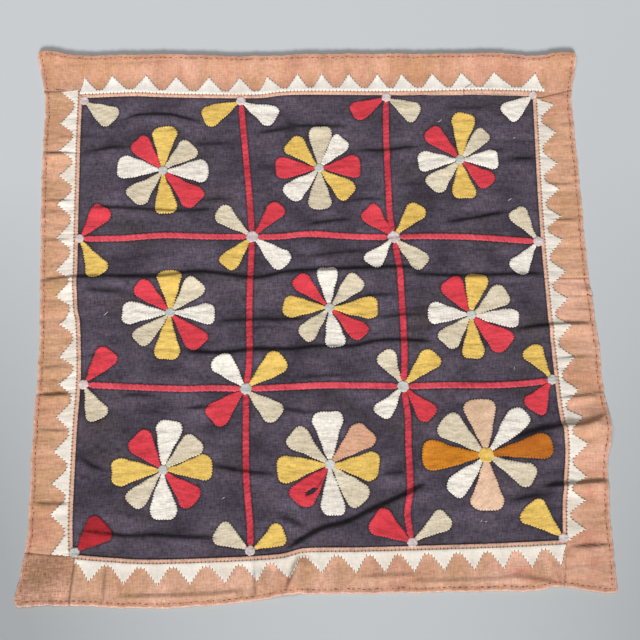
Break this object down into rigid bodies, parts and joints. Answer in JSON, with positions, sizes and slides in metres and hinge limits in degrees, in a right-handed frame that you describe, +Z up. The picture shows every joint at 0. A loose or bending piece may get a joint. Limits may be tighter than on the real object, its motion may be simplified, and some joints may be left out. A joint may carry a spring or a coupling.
{
  "type": "applique panel",
  "caption": "Square cotton applique panel lying face up: dark ground with cut-out flowers and a red grid, white saw-tooth strips and a pieced tan border with a hand-stitched hem.",
  "frame": {"origin": "on the floor under the middle of the panel's outline", "axes": "+Z up out of the face, +Y towards the panel's top edge as pictured, +X to its right edge"},
  "size_m": [0.9656, 0.9734, 0.0139],
  "materials": {
    "ground_cotton": "matte plain weave, faded dark violet-grey",
    "border_cotton": "matte plain weave, faded tan with uneven dye",
    "sawtooth_cotton": "matte plain weave, off-white",
    "strip_cotton": "matte plain weave, red, folded and puckered",
    "petal_cotton": "matte plain weave in white, ecru, yellow, red, tan and orange, edges turned under",
    "sewing_thread": "twisted cotton thread, dull"
  },
  "bodies": {
    "root": {"ground_cloth": "ground_cotton", "border_top": "border_cotton", "border_left": "border_cotton", "border_corner": "border_cotton", "border_bottom": "border_cotton", "border_right_lower": "border_cotton", "border_right_upper": "border_cotton", "sawtooth_bottom": "sawtooth_cotton", "sawtooth_right": "sawtooth_cotton", "sawtooth_top": "sawtooth_cotton", "sawtooth_left": "sawtooth_cotton", "crossing_0_0": "petal_cotton", "crossing_0_1": "petal_cotton", "crossing_0_2": "petal_cotton", "crossing_0_3": "petal_cotton", "crossing_1_0": "petal_cotton", "crossing_1_1": "petal_cotton", "crossing_1_2": "petal_cotton", "crossing_1_3": "petal_cotton", "crossing_2_0": "petal_cotton", "crossing_2_1": "petal_cotton", "crossing_2_2": "petal_cotton", "crossing_2_3": "petal_cotton", "crossing_3_0": "petal_cotton", "crossing_3_1": "petal_cotton", "crossing_3_2": "petal_cotton", "crossing_3_3": "petal_cotton", "strip_across_1_0": "strip_cotton", "strip_across_1_1": "strip_cotton", "strip_across_1_2": "strip_cotton", "strip_across_2_0": "strip_cotton", "strip_across_2_1": "strip_cotton", "strip_across_2_2": "strip_cotton", "strip_down_1_0": "strip_cotton", "strip_down_1_1": "strip_cotton", "strip_down_1_2": "strip_cotton", "strip_down_2_0": "strip_cotton", "strip_down_2_1": "strip_cotton", "strip_down_2_2": "strip_cotton", "flower_0_0": "petal_cotton", "flower_0_1": "petal_cotton", "flower_0_2": "petal_cotton", "flower_1_0": "petal_cotton", "flower_1_1": "petal_cotton", "flower_1_2": "petal_cotton", "flower_2_0": "petal_cotton", "flower_2_1": "petal_cotton", "flower_2_2": "petal_cotton"}
  },
  "joints": []
}
